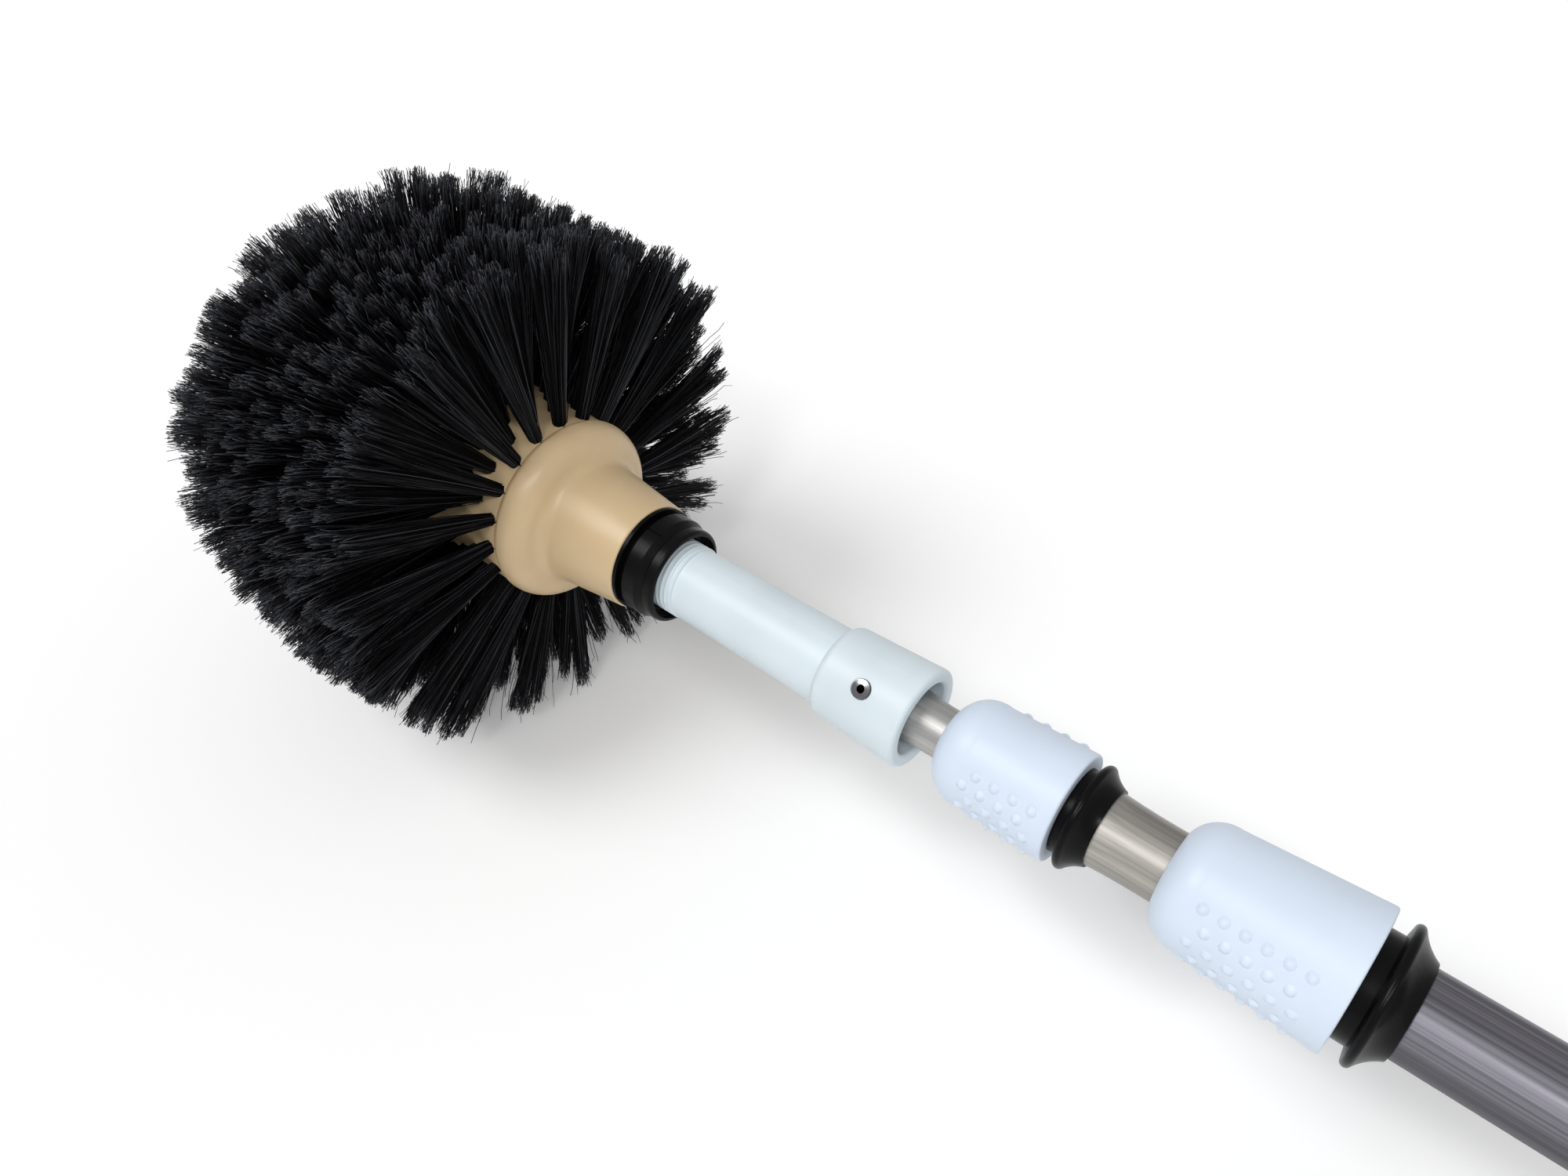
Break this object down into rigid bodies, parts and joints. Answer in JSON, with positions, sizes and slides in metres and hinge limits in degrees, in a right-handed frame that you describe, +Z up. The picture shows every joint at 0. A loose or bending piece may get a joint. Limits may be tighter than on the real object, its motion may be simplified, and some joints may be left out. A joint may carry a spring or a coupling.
{
  "type": "cobweb brush",
  "caption": "Domed cobweb brush of black bristle tufts on a cream hub, screwed to the tip of a telescopic aluminium pole with white twist-lock collars.",
  "frame": {"origin": "centre of the outer tube's tail end", "axes": "+X along the pole towards the brush, +Z up, +Y to the left of +X"},
  "size_m": [1.4785, 0.215, 0.2154],
  "materials": {
    "tube": "drawn, satin",
    "rivet": "bright",
    "white": "satin",
    "black": "satin",
    "nylon": "matt",
    "hub": "satin",
    "bristle": "matt"
  },
  "bodies": {
    "outer_section": {"outer_tube": "tube", "tail_plug": "black", "lower_base_sleeve": "black"},
    "lower_collet": {"lower_collet": "nylon"},
    "lower_collar": {"lower_twist_collar": "white"},
    "mid_section": {"mid_tube": "tube", "mid_tube_bush": "nylon", "upper_base_sleeve": "black"},
    "upper_collet": {"upper_collet": "nylon"},
    "upper_collar": {"upper_twist_collar": "white"},
    "front_section": {"inner_tube": "tube", "inner_tube_bush": "nylon", "adapter": "white", "rivet": "rivet"},
    "screw_sleeve": {"threaded_sleeve": "black"},
    "brush_head": {"insert_ring": "black", "ferrule": "hub", "brush_core": "hub", "tufts_row_01": "bristle", "tufts_row_02": "bristle", "tufts_row_03": "bristle", "tufts_row_04": "bristle", "tufts_row_05": "bristle", "tufts_row_06": "bristle", "tufts_row_07": "bristle", "tufts_row_08": "bristle", "tufts_row_09": "bristle", "tufts_row_10": "bristle", "tufts_row_11": "bristle", "tufts_row_12": "bristle", "tufts_row_13": "bristle", "tufts_row_14": "bristle"}
  },
  "joints": [
    {"name": "lower_lock_advance", "type": "slide", "parent": "outer_section", "child": "lower_collet", "axis": [1, 0, 0], "range_m": [0, 0.002]},
    {"name": "lower_lock_turn", "type": "hinge", "parent": "lower_collet", "child": "lower_collar", "pos_m": [1.02, 0, 0], "axis": [1, 0, 0], "range_deg": [0, 180]},
    {"name": "mid_slide", "type": "slide", "parent": "outer_section", "child": "mid_section", "axis": [1, 0, 0], "range_m": [0, 0.85]},
    {"name": "upper_lock_advance", "type": "slide", "parent": "mid_section", "child": "upper_collet", "axis": [1, 0, 0], "range_m": [0, 0.002]},
    {"name": "upper_lock_turn", "type": "hinge", "parent": "upper_collet", "child": "upper_collar", "pos_m": [1.105, 0, 0], "axis": [1, 0, 0], "range_deg": [0, 180]},
    {"name": "front_slide", "type": "slide", "parent": "mid_section", "child": "front_section", "axis": [1, 0, 0], "range_m": [0, 0.85]},
    {"name": "head_advance", "type": "slide", "parent": "front_section", "child": "screw_sleeve", "axis": [1, 0, 0], "range_m": [-0.0063, 0.0192]},
    {"name": "head_turn", "type": "hinge", "parent": "screw_sleeve", "child": "brush_head", "pos_m": [1.25, 0, 0], "axis": [1, 0, 0], "range_deg": [-1080, 3276]}
  ],
  "couplings": [
    {"joint": "lower_lock_advance", "follows": "lower_lock_turn", "m_per_rad": 0.00063662},
    {"joint": "upper_lock_advance", "follows": "upper_lock_turn", "m_per_rad": 0.00063662},
    {"joint": "head_advance", "follows": "head_turn", "m_per_rad": 0.00033423}
  ]
}
